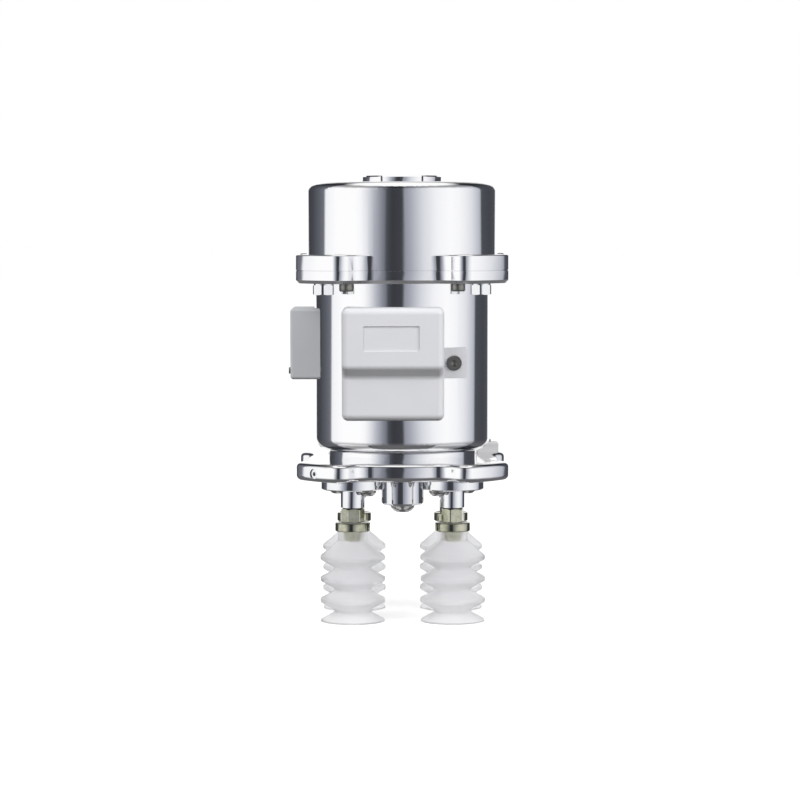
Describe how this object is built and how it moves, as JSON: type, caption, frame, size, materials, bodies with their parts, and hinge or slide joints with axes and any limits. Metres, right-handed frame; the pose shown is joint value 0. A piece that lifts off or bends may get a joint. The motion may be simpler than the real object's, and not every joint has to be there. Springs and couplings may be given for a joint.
{
  "type": "vacuum gripper",
  "caption": "Vacuum gripper: a round ejector unit under a robot adapter cap, with bellows suction cups on a lobed base.",
  "frame": {"origin": "centre of the cap's top face, at the foot of the round spigot", "axes": "+Z along the axis out of the spigot, towards the robot; -Y towards the front cover; +X to the right as seen from the front"},
  "size_m": [0.0857, 0.0955, 0.173],
  "materials": {
    "cap_aluminium": "satin polished",
    "housing_aluminium": "satin polished",
    "base_aluminium": "satin polished",
    "turned_aluminium": "fine turned",
    "inner_aluminium": "machined",
    "plated_steel": "bright plated",
    "stainless_steel": "bright",
    "dark_steel": "dark",
    "nickel_brass": "nickel plated",
    "nozzle_brass": "turned",
    "silicone": "translucent, satin",
    "seal_rubber": "matt",
    "cover_plastic": "fine texture",
    "switch_plastic": "fine texture",
    "inner_plastic": "matt",
    "tube_plastic": "smooth",
    "porous_foam": "porous",
    "board_laminate": "satin"
  },
  "bodies": {
    "root": {"adapter_cap": "cap_aluminium", "cap_seal": "seal_rubber", "main_housing": "housing_aluminium", "ear_bolts": "plated_steel", "flange_screws": "dark_steel", "base_manifold": "base_aluminium", "gallery_plug": "stainless_steel", "base_seals": "seal_rubber", "base_fixing_screws": "stainless_steel", "pad_flange_screws": "stainless_steel", "pad_flange_seals": "seal_rubber", "fitting_gaskets": "seal_rubber", "centre_post": "turned_aluminium", "centre_post_screw": "stainless_steel", "front_cover": "cover_plastic", "front_cover_gasket": "seal_rubber", "front_cover_screw": "dark_steel", "switch_cover": "switch_plastic", "switch_gasket": "seal_rubber", "switch_cover_screw": "dark_steel", "pressure_switch": "inner_plastic", "connector_shell": "nickel_brass", "connector_insert": "inner_plastic", "connector_nut": "nickel_brass", "air_inlet_fitting": "nickel_brass", "air_inlet_ring": "inner_plastic", "supply_tube": "tube_plastic", "exhaust_cover": "switch_plastic", "exhaust_cover_screw": "dark_steel", "inner_manifold": "inner_aluminium", "inner_manifold_screws": "dark_steel", "ejector_body": "inner_plastic", "ejector_nozzle": "nozzle_brass", "ejector_diffuser": "nozzle_brass", "silencer": "porous_foam", "supply_valve": "inner_plastic", "release_valve": "inner_plastic", "suction_filter": "porous_foam", "filter_cap": "inner_aluminium", "control_board": "board_laminate", "board_standoffs": "nickel_brass", "board_screws": "stainless_steel", "pad_flange_rear_right": "turned_aluminium", "pad_fitting_rear_right": "nickel_brass", "clamp_ring_rear_right": "nickel_brass", "suction_cup_rear_right": "silicone", "pad_flange_rear_left": "turned_aluminium", "pad_fitting_rear_left": "nickel_brass", "clamp_ring_rear_left": "nickel_brass", "suction_cup_rear_left": "silicone", "pad_flange_front_left": "turned_aluminium", "pad_fitting_front_left": "nickel_brass", "clamp_ring_front_left": "nickel_brass", "suction_cup_front_left": "silicone", "pad_flange_front_right": "turned_aluminium", "pad_fitting_front_right": "nickel_brass", "clamp_ring_front_right": "nickel_brass", "suction_cup_front_right": "silicone"}
  },
  "joints": []
}
